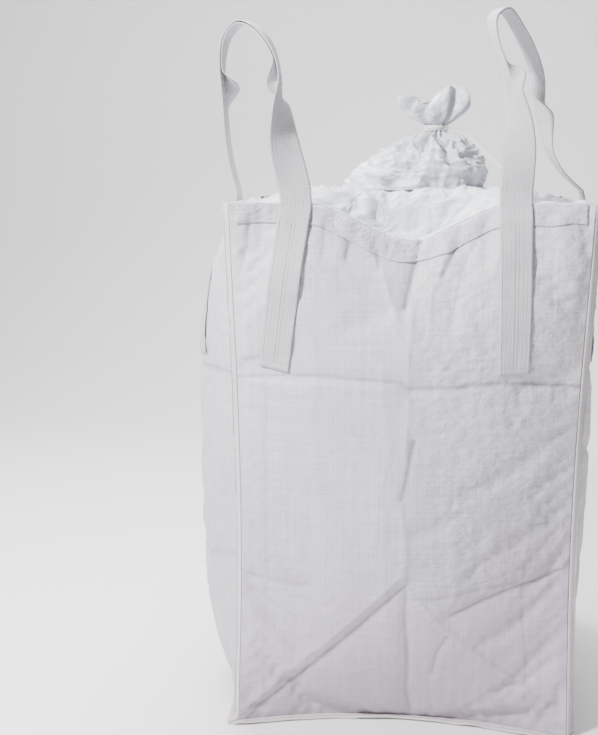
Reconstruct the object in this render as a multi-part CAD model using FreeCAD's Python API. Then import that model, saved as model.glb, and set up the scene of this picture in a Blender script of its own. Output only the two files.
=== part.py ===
"""Bulk bag (flexible intermediate bulk container): four sewn wall panels, a flat base, a top panel with a
tied filling spout, and four cross-corner lifting loops. Millimetres, +Z up, the front faces -Y.
The origin is the middle of the base, on the floor."""

import FreeCAD, Part
import math
import os

V = FreeCAD.Vector

# Driving dimensions
HALF = 450.0  # half the sewn width of a wall
HEIGHT = 1400.0  # floor to the top edge
CLOTH = 2.0  # cloth thickness as modelled
SEAM = 22.0  # seam allowance that stands out at each edge
HEM = 50.0  # folded hem below the top edge
GAP = 0.4  # clearance between sewn layers
HEM_GAP = 1.4  # clearance behind the hems, which cross the walls' tightest curves
FLOOR_GAP = 2 * CLOTH + 0.6  # the walls start above the seam allowances that lie on the floor
WEBBING = 80.0  # lifting loop webbing, width
WEB_THICK = 3.0
FOLDED = 42.0  # webbing width where the crown is folded lengthwise
SEWN = 420.0  # length of each loop leg sewn to a wall
LEG_OUT = HEM_GAP + CLOTH + 1.0  # a leg lies over the hem
THREAD = 1.4
SPOUT_R = 205.0
SPOUT_SHIFT = 70.0  # the tied neck leans to +X
SPOUT_BASE_Z = 1428.0
FLAT_SHARE = 0.88  # the top panel is level from here to the spout's seam
TOP_INSET = 10.0  # gap between the top panel's edge and the walls
TOP_DROP = 7.0  # the top panel starts this far below the top edge
TOP_LIFT = 14.0  # it swells by this much between its edge and the spout
NECK_Z = 1600.0
NECK_R = 30.0
MOUTH_Z = 1700.0
TAPE = 11.0  # tie tape width
LOOP_START_Z = 1430.0

# Wall shape by height: (share of the height, half width at the corner seams, bulge of the wall's middle)
PROFILE = {
    "front": (
        (0, 440, -80), (0.1, 436, -10), (0.28, 430, 72), (0.5, 430, 88),
        (0.7, 436, 72), (0.88, 445, 30), (1, 450, -50),
    ),
    "left": (
        (0, 440, 10), (0.1, 436, 98), (0.28, 430, 148), (0.5, 430, 160),
        (0.7, 436, 146), (0.88, 445, 84), (1, 450, -6),
    ),
    "right": (
        (0, 440, -30), (0.1, 436, 22), (0.28, 430, 64), (0.5, 430, 74),
        (0.7, 436, 62), (0.88, 445, 30), (1, 450, -6),
    ),
    "side": (
        (0, 440, -30), (0.1, 436, 40), (0.28, 430, 105), (0.5, 430, 112),
        (0.7, 436, 88), (0.88, 445, 38), (1, 450, -6),
    ),
}
LEFT_SKEW = 0.35  # the left wall swells most towards the front
FRONT_SAG = 95.0  # the front top edge dips between its loops
SIDE_SAG = 25.0
ACROSS = (-1, -0.85, -0.72, -0.6, -0.46, -0.3, -0.14, 0, 0.14, 0.3, 0.46, 0.6, 0.72, 0.85, 1)
END_TRIM = 3.0  # each wall stops this far inside the corner line

# Direction along each wall, and out of it
WALLS = {
    "front": (V(1, 0, 0), V(0, -1, 0)),
    "right": (V(0, 1, 0), V(1, 0, 0)),
    "rear": (V(-1, 0, 0), V(0, 1, 0)),
    "left": (V(0, -1, 0), V(-1, 0, 0)),
}
CORNERS = {"front_left": (-1, -1), "front_right": (1, -1), "rear_right": (1, 1), "rear_left": (-1, 1)}

# Loop legs on each wall: position along the wall at the top edge and at the sewn end
LEGS = {
    "front_left": (("front", -281, -332), ("left", 235, 235)),
    "front_right": (("front", 260, 262), ("right", -235, -240)),
    "rear_right": (("rear", -270, -272), ("right", 270, 272)),
    "rear_left": (("rear", 270, 272), ("left", -270, -272)),
}

# Centre line of each standing loop from its front leg over the crown, then the webbing's turn in degrees
STANDING = {
    "front_left": (
        (-283, -425, LOOP_START_Z, 0), (-292, -432, 1470, 8), (-308, -440, 1540, 28),
        (-314, -440, 1620, 60), (-320, -430, 1700, 86), (-344, -408, 1776, 78),
        (-386, -375, 1828, 64), (-430, -340, 1846, 60), (-470, -305, 1814, 70),
        (-487, -280, 1750, 84), (-486, -262, 1670, 90), (-482, -252, 1580, 90),
        (-470, -242, 1490, 90), (-452, -236, LOOP_START_Z, 90),
    ),
    "front_right": (
        (260, -421, LOOP_START_Z, 0), (261, -428, 1470, -6), (262, -434, 1540, -22),
        (256, -434, 1600, -42), (241, -428, 1662, -62), (219, -416, 1730, -72),
        (199, -402, 1790, -70), (195, -382, 1842, -60), (222, -350, 1866, -52),
        (262, -318, 1824, -46), (300, -290, 1760, -44), (326, -270, 1690, -50),
        (342, -252, 1610, -66), (358, -240, 1530, -84), (400, -236, 1468, -90),
        (440, -236, LOOP_START_Z, -90),
    ),
}
FOLD_SHARE = (0.32, 0.68)  # the stretch of a loop's length that is folded lengthwise and sewn
FOLD_RAMP = 0.13  # the fold opens out over this share at each end
BARTACK_STATION = 8
BARTACK_WIDTH = 34.0


def smooth(t):
    t = min(1.0, max(0.0, t))
    return t * t * (3 - 2 * t)


def sag_of(wall, s):
    """How far the top edge hangs below HEIGHT, at a share s of the half width."""
    depth, reach = (FRONT_SAG, 0.6) if wall == "front" else (SIDE_SAG, 0.9)
    return depth * smooth(1 - abs(s) / reach)


def reach_of(wall, s, row):
    """Distance from the bag's middle to a wall's outer face, at a share s of the half width."""
    _, half, bulge = row
    skew = LEFT_SKEW if wall == "left" else 0.0
    return half + bulge * (1 - s * s) * (1 + skew * s)


def wall_point(wall, s, row, out=0.0):
    share, half, _ = row
    along, outward = WALLS[wall]
    offset = reach_of(wall, s, row) + out
    side = s * (half - END_TRIM)
    top = HEIGHT - sag_of(wall, s)
    return along * side + outward * offset + V(0, 0, FLOOR_GAP + share * (top - FLOOR_GAP))


def rows_of(wall):
    return PROFILE.get(wall, PROFILE["side"])


def surface(grid):
    s = Part.BSplineSurface()
    s.interpolate(grid)
    return s


def closed_solid(faces):
    shell = Part.makeShell(faces)
    shell.sewShape()
    solid = Part.makeSolid(shell)
    if solid.Volume < 0:
        solid.reverse()
    return solid


def middle(edge):
    return edge.valueAt((edge.FirstParameter + edge.LastParameter) / 2)


def sheet(outer, inner):
    """A thin solid between two grids of points with the same layout."""
    a, b = surface(outer).toShape(), surface(inner).toShape()
    faces = [a, b]
    for edge in a.Edges:
        twin = min(b.Edges, key=lambda e: (middle(e) - middle(edge)).Length)
        faces.append(Part.makeRuledSurface(edge, twin))
    return closed_solid(faces)


def slab(outline, low, high):
    """A flat solid from a closed list of curves, each a list of points in plan."""
    edges = []
    for points in outline:
        points = [V(p.x, p.y, low) for p in points]
        if len(points) == 2:
            edges.append(Part.LineSegment(*points).toShape())
        else:
            curve = Part.BSplineCurve()
            curve.interpolate(points)
            edges.append(curve.toShape())
    return Part.Face(Part.Wire(edges)).extrude(V(0, 0, high - low))


# ---- walls ----


def wall_grid(wall, out):
    return [[wall_point(wall, s, row, out) for row in rows_of(wall)] for s in ACROSS]


def make_wall(wall):
    return sheet(wall_grid(wall, 0), wall_grid(wall, -CLOTH))


def on_wall(wall, side, z, out):
    """A point at height z on a wall's outer face, side mm along from its middle, standing out by out mm."""
    skin = SKINS[wall]
    along, outward = WALLS[wall]
    guess = along * side + outward * (HALF + 40) + V(0, 0, z)
    for _ in range(4):
        u, v = skin.parameter(guess)
        hit = skin.value(u, v)
        guess = along * side + outward * hit.dot(outward) + V(0, 0, z)
    normal = skin.normal(u, v)
    if normal.dot(outward) < 0:
        normal = normal * -1
    return skin.value(u, v) + normal * out


def patch(wall, centre, width, out, thick, across=4):
    """A strip on a wall's outer face along a list of (side, z) points."""
    shares = [-0.5 + k / (across - 1) for k in range(across)]
    layers = []
    for depth in (out + thick, out):
        layers.append([[on_wall(wall, side + w * width, z, depth) for side, z in centre] for w in shares])
    return sheet(*layers)


def make_hem(wall):
    """The folded band along a wall's top edge, between the corner seams."""
    columns = [-0.96 + 1.92 * k / 36 for k in range(37)]
    layers = []
    for out in (HEM_GAP + CLOTH, HEM_GAP):
        grid = []
        for s in columns:
            top = HEIGHT - sag_of(wall, s) - 4
            grid.append([on_wall(wall, s * HALF, top - HEM * k / 4, out) for k in range(5)])
        layers.append(grid)
    return sheet(*layers)


def make_corner(signs):
    """The two seam allowances that stand out past a corner, pointing along X."""
    sx, sy = signs
    layers = []
    for k in range(2):
        near = k * (CLOTH + 0.1)
        start = 2.0 if k else -END_TRIM + GAP
        grids = []
        for depth in (near, near + CLOTH):
            grid = []
            for x in (start, SEAM / 3, SEAM * 2 / 3, SEAM):
                row = []
                for share, half, _ in PROFILE["side"]:
                    row.append(V(sx * (half + x), sy * (half - depth), max(FLOOR_GAP, share * HEIGHT)))
                grid.append(row)
            grids.append(grid)
        layers.append(sheet(*grids))
    return Part.makeCompound(layers)


def make_corner_thread(signs):
    """Chain-stitch thread on the face of a corner's seam allowance."""
    sx, sy = signs
    grids = []
    for depth in (-GAP - THREAD, -GAP):
        grid = []
        for x in (9.0, 9.5, 10.0, 10.0 + THREAD):
            row = []
            for share, half, _ in PROFILE["side"]:
                row.append(V(sx * (half + x), sy * (half - depth), share * HEIGHT * 0.99 + 8))
            grid.append(row)
        grids.append(grid)
    return sheet(*grids)


# ---- base ----


def base_edge(wall, inset, count=9):
    along, outward = WALLS[wall]
    row = rows_of(wall)[0]
    points = []
    for k in range(count):
        s = -1 + 2 * k / (count - 1)
        points.append(along * (s * (row[1] - inset)) + outward * (reach_of(wall, s, row) - inset))
    return points


def make_base():
    return slab([base_edge(w, CLOTH + 1.5) for w in ("front", "right", "rear", "left")], 0, CLOTH)


def floor_strip(wall, near, far, trims, low, high):
    """A strip on the floor along a wall, between two distances out from the base's edge."""
    along, _ = WALLS[wall]
    inner, outer = base_edge(wall, -near), base_edge(wall, -far)
    for line, trim in zip((inner, outer), trims):
        line[0] = line[0] + along * trim
        line[-1] = line[-1] - along * trim
    return slab([inner, [inner[-1], outer[-1]], outer[::-1], [outer[0], inner[0]]], low, high)


def make_base_seam():
    """Seam allowances that lie on the floor round the base."""
    return Part.makeCompound([floor_strip(w, GAP + 0.2, GAP + SEAM, (4, 24), 0, 2 * CLOTH) for w in WALLS])


def make_base_thread():
    low = 2 * CLOTH + 0.2
    return Part.makeCompound([floor_strip(w, 10, 10 + THREAD, (26, 26), low, low + THREAD) for w in WALLS])


# ---- top panel and spout ----


def ring(points):
    curve = Part.BSplineCurve()
    curve.interpolate(Points=points, PeriodicFlag=True)
    return curve.toShape()


def top_ring(share, drop):
    """A closed line on the top panel, from the top edge at share 0 to the spout's seam at share 1."""
    points = []
    for k in range(48):
        angle = 2 * math.pi * (k + 0.5) / 48
        c, s = math.cos(angle), math.sin(angle)
        wall = "right" if c > abs(s) else "left" if -c > abs(s) else "rear" if s > 0 else "front"
        lateral = s / abs(c) if wall in ("right", "left") else c / abs(s)
        row = rows_of(wall)[-1]
        reach = reach_of(wall, lateral, row) - CLOTH - TOP_INSET
        edge = reach / max(abs(c), abs(s))
        rise = min(1.0, share / FLAT_SHARE)
        z_edge = HEIGHT - sag_of(wall, lateral * reach / row[1]) - TOP_DROP
        z = z_edge + (SPOUT_BASE_Z - z_edge) * smooth(rise) ** 0.8 + TOP_LIFT * math.sin(math.pi * rise)
        radius = edge + (SPOUT_R - edge) * share
        points.append(V(radius * c, radius * s, z - drop))
    return ring(points)


def make_top():
    shares = (0, 0.25, 0.5, 0.72, FLAT_SHARE, 1)
    skins = []
    for drop in (0, CLOTH):
        skins.append(Part.makeLoft([Part.Wire([top_ring(k, drop)]) for k in shares], False, False))
    faces = list(skins[0].Faces) + list(skins[1].Faces)
    faces += [Part.makeRuledSurface(top_ring(k, 0), top_ring(k, CLOTH)) for k in (0, 1)]
    return closed_solid(faces)


# Spout sections from its seam to the tie, and from the tie to the mouth: (z, radius, centre x)
DOME = (
    (SPOUT_BASE_Z + 1, SPOUT_R, 0), (1475, 182, 26), (1525, 142, 53), (1566, 82, 68),
    (NECK_Z - 12, NECK_R, SPOUT_SHIFT),
)
MOUTH = ((NECK_Z + 12, NECK_R, SPOUT_SHIFT), (1640, 66, SPOUT_SHIFT + 2), (MOUTH_Z, 92, SPOUT_SHIFT + 6))


def circle(z, radius, x):
    return Part.Wire([Part.Circle(V(x, 0, z), V(0, 0, 1), radius).toShape()])


def hollow(sections):
    outer = Part.makeLoft([circle(*s) for s in sections], True, False)
    inner = Part.makeLoft([circle(z, r - CLOTH * 1.5, x) for z, r, x in sections], True, False)
    return outer.cut(inner)


def make_spout():
    neck = Part.makeCylinder(NECK_R, 24, V(SPOUT_SHIFT, 0, NECK_Z - 12))
    return hollow(DOME).fuse(neck).fuse(hollow(MOUTH)).removeSplitter()


def washer(inner, outer, height, x, z):
    centre = V(x, 0, z)
    return Part.makeCylinder(outer, height, centre).cut(Part.makeCylinder(inner, height, centre))


def make_spout_seam():
    """The overlapped band where the spout is sewn to the top panel."""
    return washer(SPOUT_R + 1, SPOUT_R + 18, 2, 0, SPOUT_BASE_Z + 3)


def make_spout_thread():
    return washer(SPOUT_R + 9, SPOUT_R + 9 + THREAD, THREAD, 0, SPOUT_BASE_Z + 5.3)


def make_tie():
    """Tape wound round the neck."""
    return washer(NECK_R + 0.3, NECK_R + 4.5, 16, SPOUT_SHIFT, NECK_Z - 8)


def make_knot():
    """The tie's knot, on the front right of the neck."""
    centre = V(SPOUT_SHIFT + 30, -34, NECK_Z)
    return Part.makeSphere(9.5, centre).common(Part.makeBox(40, 40, 14, centre - V(20, 20, 7)))


# Centre lines of the tie's two free ends, from the knot
TAILS = {
    "spout_tie_tail_right": (
        (109, -45, 1599), (134, -56, 1593), (162, -66, 1574), (190, -78, 1548), (220, -92, 1518),
        (250, -107, 1488), (282, -122, 1462), (318, -138, 1447),
    ),
    "spout_tie_tail_rear": (
        (112, -30, 1600), (132, -8, 1596), (148, 20, 1585), (162, 52, 1566), (174, 86, 1541),
        (186, 118, 1511),
    ),
}


def rounded_path(points):
    """Straight runs joined by tangent arcs, each as large as its two runs allow."""
    points = [V(*p) for p in points]
    edges, start = [], points[0]
    for before, here, after in zip(points, points[1:], points[2:]):
        a, b = before - here, after - here
        turn = math.pi - a.getAngle(b)
        run = min(a.Length, b.Length)
        radius = 0.45 * run / math.tan(turn / 2)
        a.normalize()
        b.normalize()
        first, last = here + a * 0.45 * run, here + b * 0.45 * run
        bisector = a + b
        bisector.normalize()
        mid = here + bisector * (radius / math.cos(turn / 2) - radius)
        edges.append(Part.LineSegment(start, first).toShape())
        edges.append(Part.Arc(first, mid, last).toShape())
        start = last
        RADII.append(radius)
    edges.append(Part.LineSegment(start, points[-1]).toShape())
    return Part.Wire(edges)


def make_tail(points):
    path = rounded_path(points)
    direction = V(*points[1]) - V(*points[0])
    section = Part.Wire([Part.Circle(V(*points[0]), direction, TAPE / 2).toShape()])
    tube = path.makePipeShell([section], True, True)
    expected = math.pi * (TAPE / 2) ** 2 * path.Length
    print("tail", round(path.Length), "mm, volume over area times length", round(tube.Volume / expected, 3))
    return tube


# ---- lifting loops ----


def leg_line(leg, top, bottom, count=7):
    wall, side_top, side_bottom = leg
    sag = sag_of(wall, side_top / HALF)
    line = []
    for k in range(count):
        t = k / (count - 1)
        line.append((side_top + (side_bottom - side_top) * t, (top - sag) + (bottom - top + sag) * t))
    return line


def make_leg(leg):
    """The end of a loop's webbing, sewn flat on the outside of a wall over its hem."""
    line = leg_line(leg, HEIGHT - 3.5, HEIGHT - SEWN)
    return patch(leg[0], line, WEBBING, LEG_OUT, WEB_THICK)


def make_leg_threads(leg):
    """Lines of stitching along a sewn leg."""
    out = LEG_OUT + WEB_THICK + GAP
    threads = []
    for offset in (-34, -12, 12, 34):
        line = [(side + offset, z) for side, z in leg_line(leg, HEIGHT - 20, HEIGHT - SEWN + 10)]
        threads.append(patch(leg[0], line, THREAD, out, THREAD))
    return Part.makeCompound(threads)


def stations_along(line, count=30):
    """Evenly spaced (point, turn) stations on a smooth curve through a loop's centre line."""
    curve = Part.BSplineCurve()
    curve.interpolate([V(*p[:3]) for p in line])
    knots = [curve.parameter(V(*p[:3])) for p in line]
    stations = []
    for k in range(count):
        u = curve.FirstParameter + (curve.LastParameter - curve.FirstParameter) * k / (count - 1)
        j = max(i for i in range(len(knots) - 1) if knots[i] <= u + 1e-9)
        t = smooth((u - knots[j]) / (knots[j + 1] - knots[j]))
        stations.append((curve.value(u), line[j][3] + (line[j + 1][3] - line[j][3]) * t))
    return stations


def cross_frame(stations, k):
    """Directions across the webbing and out of its face at a station."""
    tangent = stations[min(k + 1, len(stations) - 1)][0] - stations[max(k - 1, 0)][0]
    tangent.normalize()
    turn = math.radians(stations[k][1])
    across = V(math.cos(turn), math.sin(turn), 0)
    across = across - tangent * across.dot(tangent)
    across.normalize()
    return tangent, across, tangent.cross(across)


def add_section(layers, centre, across, normal, fold):
    """Adds a cross-section to both faces of a strap: flat at fold 0, half as wide and doubled at fold 1."""
    width = WEBBING + (FOLDED - WEBBING) * fold
    half_thick = WEB_THICK * (1 + fold) / 2
    for layer, sign in zip(layers, (1, -1)):
        middle_line = centre + normal * (sign * half_thick)
        layer.append([middle_line + across * (width * (w - 0.5)) for w in (0, 1 / 3, 2 / 3, 1)])


def strap(line):
    """Webbing along a loop's line. Its width narrows and its thickness doubles where it is folded."""
    stations = stations_along(line)
    layers = ([], [])
    for k, (centre, _) in enumerate(stations):
        _, across, normal = cross_frame(stations, k)
        share = k / (len(stations) - 1)
        folding, opening = (share - FOLD_SHARE[0]) / FOLD_RAMP, (FOLD_SHARE[1] - share) / FOLD_RAMP
        fold = smooth(folding + 1) * smooth(opening + 1)
        add_section(layers, centre, across, normal, fold)
    return sheet(*layers)


def make_bartack(line):
    """Rows of bar stitching across the webbing beside the end of its fold."""
    stations = stations_along(line)
    centre = stations[BARTACK_STATION][0]
    tangent, across, normal = cross_frame(stations, BARTACK_STATION)
    rows = []
    for step in (-14, -5, 4, 13):
        origin = centre + tangent * step - across * (BARTACK_WIDTH / 2) + normal * (WEB_THICK + 2.5)
        frame = FreeCAD.Matrix(across, tangent, normal, origin)
        rows.append(Part.makeBox(BARTACK_WIDTH, THREAD, THREAD).transformGeometry(frame))
    return Part.makeCompound(rows)


# Half of a rear loop's centre line on the rear wall, then the corner it hangs round: (across, out, height)
HANGING_HALF = (
    (270, 464, 1404), (271, 472, 1344), (274, 488, 1274), (284, 502, 1199),
    (318, 508, 1134), (378, 506, 1096), (440, 496, 1078),
)
HANGING_CORNER = (502, 502, 1067)
# The left wall swells more, so the webbing on it hangs this much further out
HANGING_EXTRA = {"rear_left": (0, 10, 20, 27, 24, 10, 0), "rear_right": (0, 0, 0, 0, 0, 0, 0)}


def hanging_solid(corner):
    """The rear loops' free webbing, folded down over the top edge and hanging round the corner."""
    sx, sy = CORNERS[corner]
    stations = [(V(sx * x, sy * y, z), 0) for x, y, z in HANGING_HALF]
    stations.append((V(sx * HANGING_CORNER[0], sy * HANGING_CORNER[1], HANGING_CORNER[2]), 0.5))
    side_half = []
    for (x, y, z), extra in zip(HANGING_HALF, HANGING_EXTRA[corner]):
        side_half.append((V(sx * (y + extra), sy * x, z), 1))
    stations += side_half[::-1]
    layers = ([], [])
    count = len(stations)
    for k, (centre, side) in enumerate(stations):
        tangent = stations[min(k + 1, count - 1)][0] - stations[max(k - 1, 0)][0]
        tangent.normalize()
        outward = V(0, sy, 0) * (1 - side) + V(sx, 0, 0) * side
        outward = outward - tangent * outward.dot(tangent)
        outward.normalize()
        fold = smooth((k - 3) / 1.5) * smooth((count - 4 - k) / 1.5)
        add_section(layers, centre, outward.cross(tangent), outward, fold)
    return sheet(*layers)


def save(name, shape):
    sound = shape.Solids and all(s.isValid() and s.Volume > 0 for s in shape.Solids)
    print(name, len(shape.Solids), "solids", round(shape.Volume / 1000, 1), "cm3", "" if sound else "BAD")
    shape.exportStep(f"parts/{name}.step")


RADII = []
SKINS = {wall: surface(wall_grid(wall, 0)) for wall in WALLS}


def main():
    os.makedirs("parts", exist_ok=True)
    for wall in WALLS:
        save(f"{wall}_panel", make_wall(wall))
        save(f"{wall}_top_hem", make_hem(wall))
    for name, signs in CORNERS.items():
        save(f"corner_seam_{name}", make_corner(signs))
        save(f"corner_stitching_{name}", make_corner_thread(signs))
    save("base_panel", make_base())
    save("base_seam", make_base_seam())
    save("base_seam_stitching", make_base_thread())
    save("top_panel", make_top())
    save("filling_spout", make_spout())
    save("spout_seam_band", make_spout_seam())
    save("spout_seam_stitching", make_spout_thread())
    save("spout_tie_wrap", make_tie())
    save("spout_tie_knot", make_knot())
    for name, points in TAILS.items():
        save(name, make_tail(points))
    print("tail bend radii, mm:", [round(r) for r in RADII])
    for corner, legs in LEGS.items():
        for leg in legs:
            save(f"loop_leg_{corner}_on_{leg[0]}", make_leg(leg))
            save(f"leg_stitching_{corner}_on_{leg[0]}", make_leg_threads(leg))
    for corner, line in STANDING.items():
        save(f"lifting_loop_{corner}", strap(line))
        save(f"loop_bartack_{corner}", make_bartack(line))
    for corner in ("rear_left", "rear_right"):
        save(f"lifting_loop_{corner}", hanging_solid(corner))


main()
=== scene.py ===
"""Looks of the bulk bag: woven walls, a crinkled top panel, a tied spout and webbing loops."""

import math

import bpy
import numpy as np
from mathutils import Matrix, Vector
from mathutils.bvhtree import BVHTree


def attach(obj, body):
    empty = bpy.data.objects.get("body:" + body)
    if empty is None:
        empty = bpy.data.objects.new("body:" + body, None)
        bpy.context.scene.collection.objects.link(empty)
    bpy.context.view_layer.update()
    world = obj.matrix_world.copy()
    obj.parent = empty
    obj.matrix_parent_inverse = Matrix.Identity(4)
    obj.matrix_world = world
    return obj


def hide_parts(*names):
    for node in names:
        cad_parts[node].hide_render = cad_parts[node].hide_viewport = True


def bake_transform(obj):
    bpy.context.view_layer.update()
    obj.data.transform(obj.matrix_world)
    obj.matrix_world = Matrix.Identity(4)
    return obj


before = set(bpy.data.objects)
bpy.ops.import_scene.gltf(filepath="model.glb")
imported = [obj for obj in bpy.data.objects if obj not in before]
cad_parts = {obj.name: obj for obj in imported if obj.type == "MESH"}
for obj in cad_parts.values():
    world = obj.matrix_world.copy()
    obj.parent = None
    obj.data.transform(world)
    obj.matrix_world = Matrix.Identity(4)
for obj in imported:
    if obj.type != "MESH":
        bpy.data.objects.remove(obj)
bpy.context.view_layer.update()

# ---- driving dimensions, in metres ----
HEIGHT = 1.400
HALF_WIDTH = 0.450
CLOTH = 0.0014
WEBBING = 0.080
WEB_THICK = 0.0026
SEAM = 0.022
HEM = 0.050
FLOOR_SEAM = 0.004
SPOUT_SHIFT = 0.070
SPOUT_RADIUS = 0.205
SPOUT_BASE_Z = 1.428
NECK_Z = 1.600
TAPE = 0.011

# Half width at the corner seams, by share of the height
SEAM_SHARES = (0, 0.1, 0.28, 0.5, 0.7, 0.88, 1)
SEAM_HALVES = (0.440, 0.436, 0.430, 0.430, 0.436, 0.445, 0.450)
HALF_SAMPLES = 57
SAG = {"front": (0.095, 0.6), "right": (0.025, 0.9), "rear": (0.025, 0.9), "left": (0.025, 0.9)}

# Direction along each wall, and out of it
WALLS = {
    "front": (Vector((1, 0, 0)), Vector((0, -1, 0))),
    "right": (Vector((0, 1, 0)), Vector((1, 0, 0))),
    "rear": (Vector((-1, 0, 0)), Vector((0, 1, 0))),
    "left": (Vector((0, -1, 0)), Vector((-1, 0, 0))),
}
CORNERS = {"front_left": (-1, -1), "front_right": (1, -1), "rear_right": (1, 1), "rear_left": (-1, 1)}

# Folds on the front wall: route of (side, height) points, rise of the fold, its width,
# and how dark the painted shade along its line is
FRONT_FOLDS = (
    (((0.038, 1.323), (0.020, 1.250), (0.008, 1.200), (-0.008, 1.143)), -0.015, 0.016, 0.9),
    (((0.010, 1.190), (0.008, 0.948), (0.006, 0.866), (0.001, 0.625), (0.004, 0.442)), 0.006, 0.030, 0.35),
    (((0.022, 0.819), (0.010, 0.742), (-0.002, 0.675)), -0.005, 0.010, 0.9),
    (((0.004, 0.442), (0.014, 0.220), (0.022, 0.035)), -0.008, 0.026, 0.8),
    (
        ((-0.440, 0.962), (-0.301, 0.971), (-0.152, 0.972), (-0.013, 0.969), (0.010, 0.954)),
        -0.008, 0.028, 0.6,
    ),
    (((0.010, 0.954), (0.113, 0.959), (0.228, 0.966), (0.309, 0.957), (0.435, 0.952)), -0.010, 0.026, 0.9),
    (((-0.390, 0.948), (-0.200, 0.950), (-0.030, 0.947)), 0.004, 0.016, 0),
    (
        ((0.440, 0.520), (0.414, 0.470), (0.350, 0.446), (0.270, 0.425), (0.200, 0.398), (0.129, 0.365)),
        -0.010, 0.024, 0.9,
    ),
    (((0.032, 0.405), (0.127, 0.419), (0.293, 0.447)), -0.004, 0.014, 0.3),
    (((-0.440, 0.432), (-0.361, 0.413), (-0.247, 0.416)), -0.008, 0.024, 0.4),
    (((-0.430, 0.410), (-0.401, 0.380), (-0.340, 0.352), (-0.273, 0.330)), -0.005, 0.016, 0.2),
    (
        ((0.004, 0.442), (-0.090, 0.342), (-0.187, 0.237), (-0.300, 0.120), (-0.420, 0.010)),
        -0.010, 0.030, 1.0,
    ),
    (((-0.010, 0.470), (-0.200, 0.262), (-0.420, 0.040)), 0.006, 0.020, 0),
    (((0.004, 0.442), (0.115, 0.330), (0.232, 0.215), (0.382, 0.103)), 0.004, 0.012, 0.25),
    (((-0.357, 0.950), (-0.362, 0.500), (-0.367, 0.060)), -0.0016, 0.005, 0.30),
    (((0.309, 0.509), (0.318, 0.300), (0.328, 0.104)), -0.0016, 0.005, 0.30),
    (((-0.076, 1.294), (-0.070, 1.240)), -0.004, 0.008, 0.5),
    (((0.119, 1.300), (0.085, 1.229)), -0.006, 0.008, 0.9),
    (((-0.236, 1.391), (-0.190, 1.350), (-0.146, 1.305), (-0.154, 1.266)), -0.003, 0.007, 0.8),
    (((-0.280, 1.230), (-0.360, 1.140), (-0.440, 1.040)), 0.012, 0.045, 0),
    (((-0.300, 1.020), (-0.380, 1.010), (-0.440, 0.985)), -0.010, 0.030, 0.15),
    (((-0.395, 1.370), (-0.400, 1.290), (-0.430, 1.200)), -0.014, 0.050, 0),
    (((0.355, 1.360), (0.400, 1.330), (0.440, 1.250)), 0.008, 0.050, 0),
    (((-0.120, 1.320), (-0.060, 1.230), (-0.030, 1.120)), 0.006, 0.022, 0),
    (((0.100, 1.290), (0.060, 1.180), (0.050, 1.060)), 0.006, 0.026, 0.1),
    (((0.180, 1.340), (0.130, 1.240), (0.110, 1.100)), -0.005, 0.020, 0),
    (((0.120, 0.300), (0.090, 0.240), (0.080, 0.180)), -0.004, 0.010, 0.3),
    (((0.270, 0.175), (0.310, 0.160), (0.370, 0.090)), 0.003, 0.006, 0),
    (((-0.060, 1.000), (-0.040, 0.780), (-0.070, 0.560)), 0.004, 0.040, 0),
)
# The same packing folds as they fall on the walls that face away
PLAIN_FOLDS = (
    (((0.010, 1.330), (0.000, 0.900), (0.006, 0.450)), 0.006, 0.030, 0.4),
    (((0.006, 0.450), (-0.004, 0.240), (0.000, 0.030)), -0.007, 0.026, 0.6),
    (((-0.430, 0.960), (-0.160, 0.972), (0.140, 0.958), (0.430, 0.966)), -0.009, 0.027, 0.7),
    (((-0.430, 0.470), (-0.260, 0.430), (-0.100, 0.445)), -0.007, 0.022, 0.5),
    (((0.120, 0.440), (0.270, 0.420), (0.430, 0.480)), -0.007, 0.022, 0.5),
    (((0.006, 0.450), (-0.200, 0.232), (-0.410, 0.020)), -0.008, 0.028, 0.8),
    (((0.006, 0.450), (0.210, 0.222), (0.415, 0.016)), -0.008, 0.028, 0.7),
    (((-0.300, 1.260), (-0.380, 1.120), (-0.430, 1.020)), 0.009, 0.040, 0),
    (((0.290, 1.250), (0.370, 1.130), (0.430, 1.030)), 0.009, 0.040, 0),
    (((-0.060, 1.330), (-0.040, 1.200), (-0.070, 1.060)), -0.005, 0.020, 0.2),
    (((0.110, 1.330), (0.080, 1.220), (0.100, 1.080)), 0.005, 0.022, 0),
)

# Loop legs: wall, then position along it at the top edge and at the sewn end
LEGS = {
    "front_left": (("front", -0.281, -0.332), ("left", 0.235, 0.235)),
    "front_right": (("front", 0.260, 0.262), ("right", -0.235, -0.240)),
    "rear_right": (("rear", -0.270, -0.272), ("right", 0.270, 0.272)),
    "rear_left": (("rear", 0.270, 0.272), ("left", -0.270, -0.272)),
}
SEWN_END_Z = 0.984
LEG_STATIONS = 44
FREE_STATIONS = 110
HANGING_STATIONS = 70
BAR_STARTS = (26, 76)  # stations of the free length where a row of bar tacks starts

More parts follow.
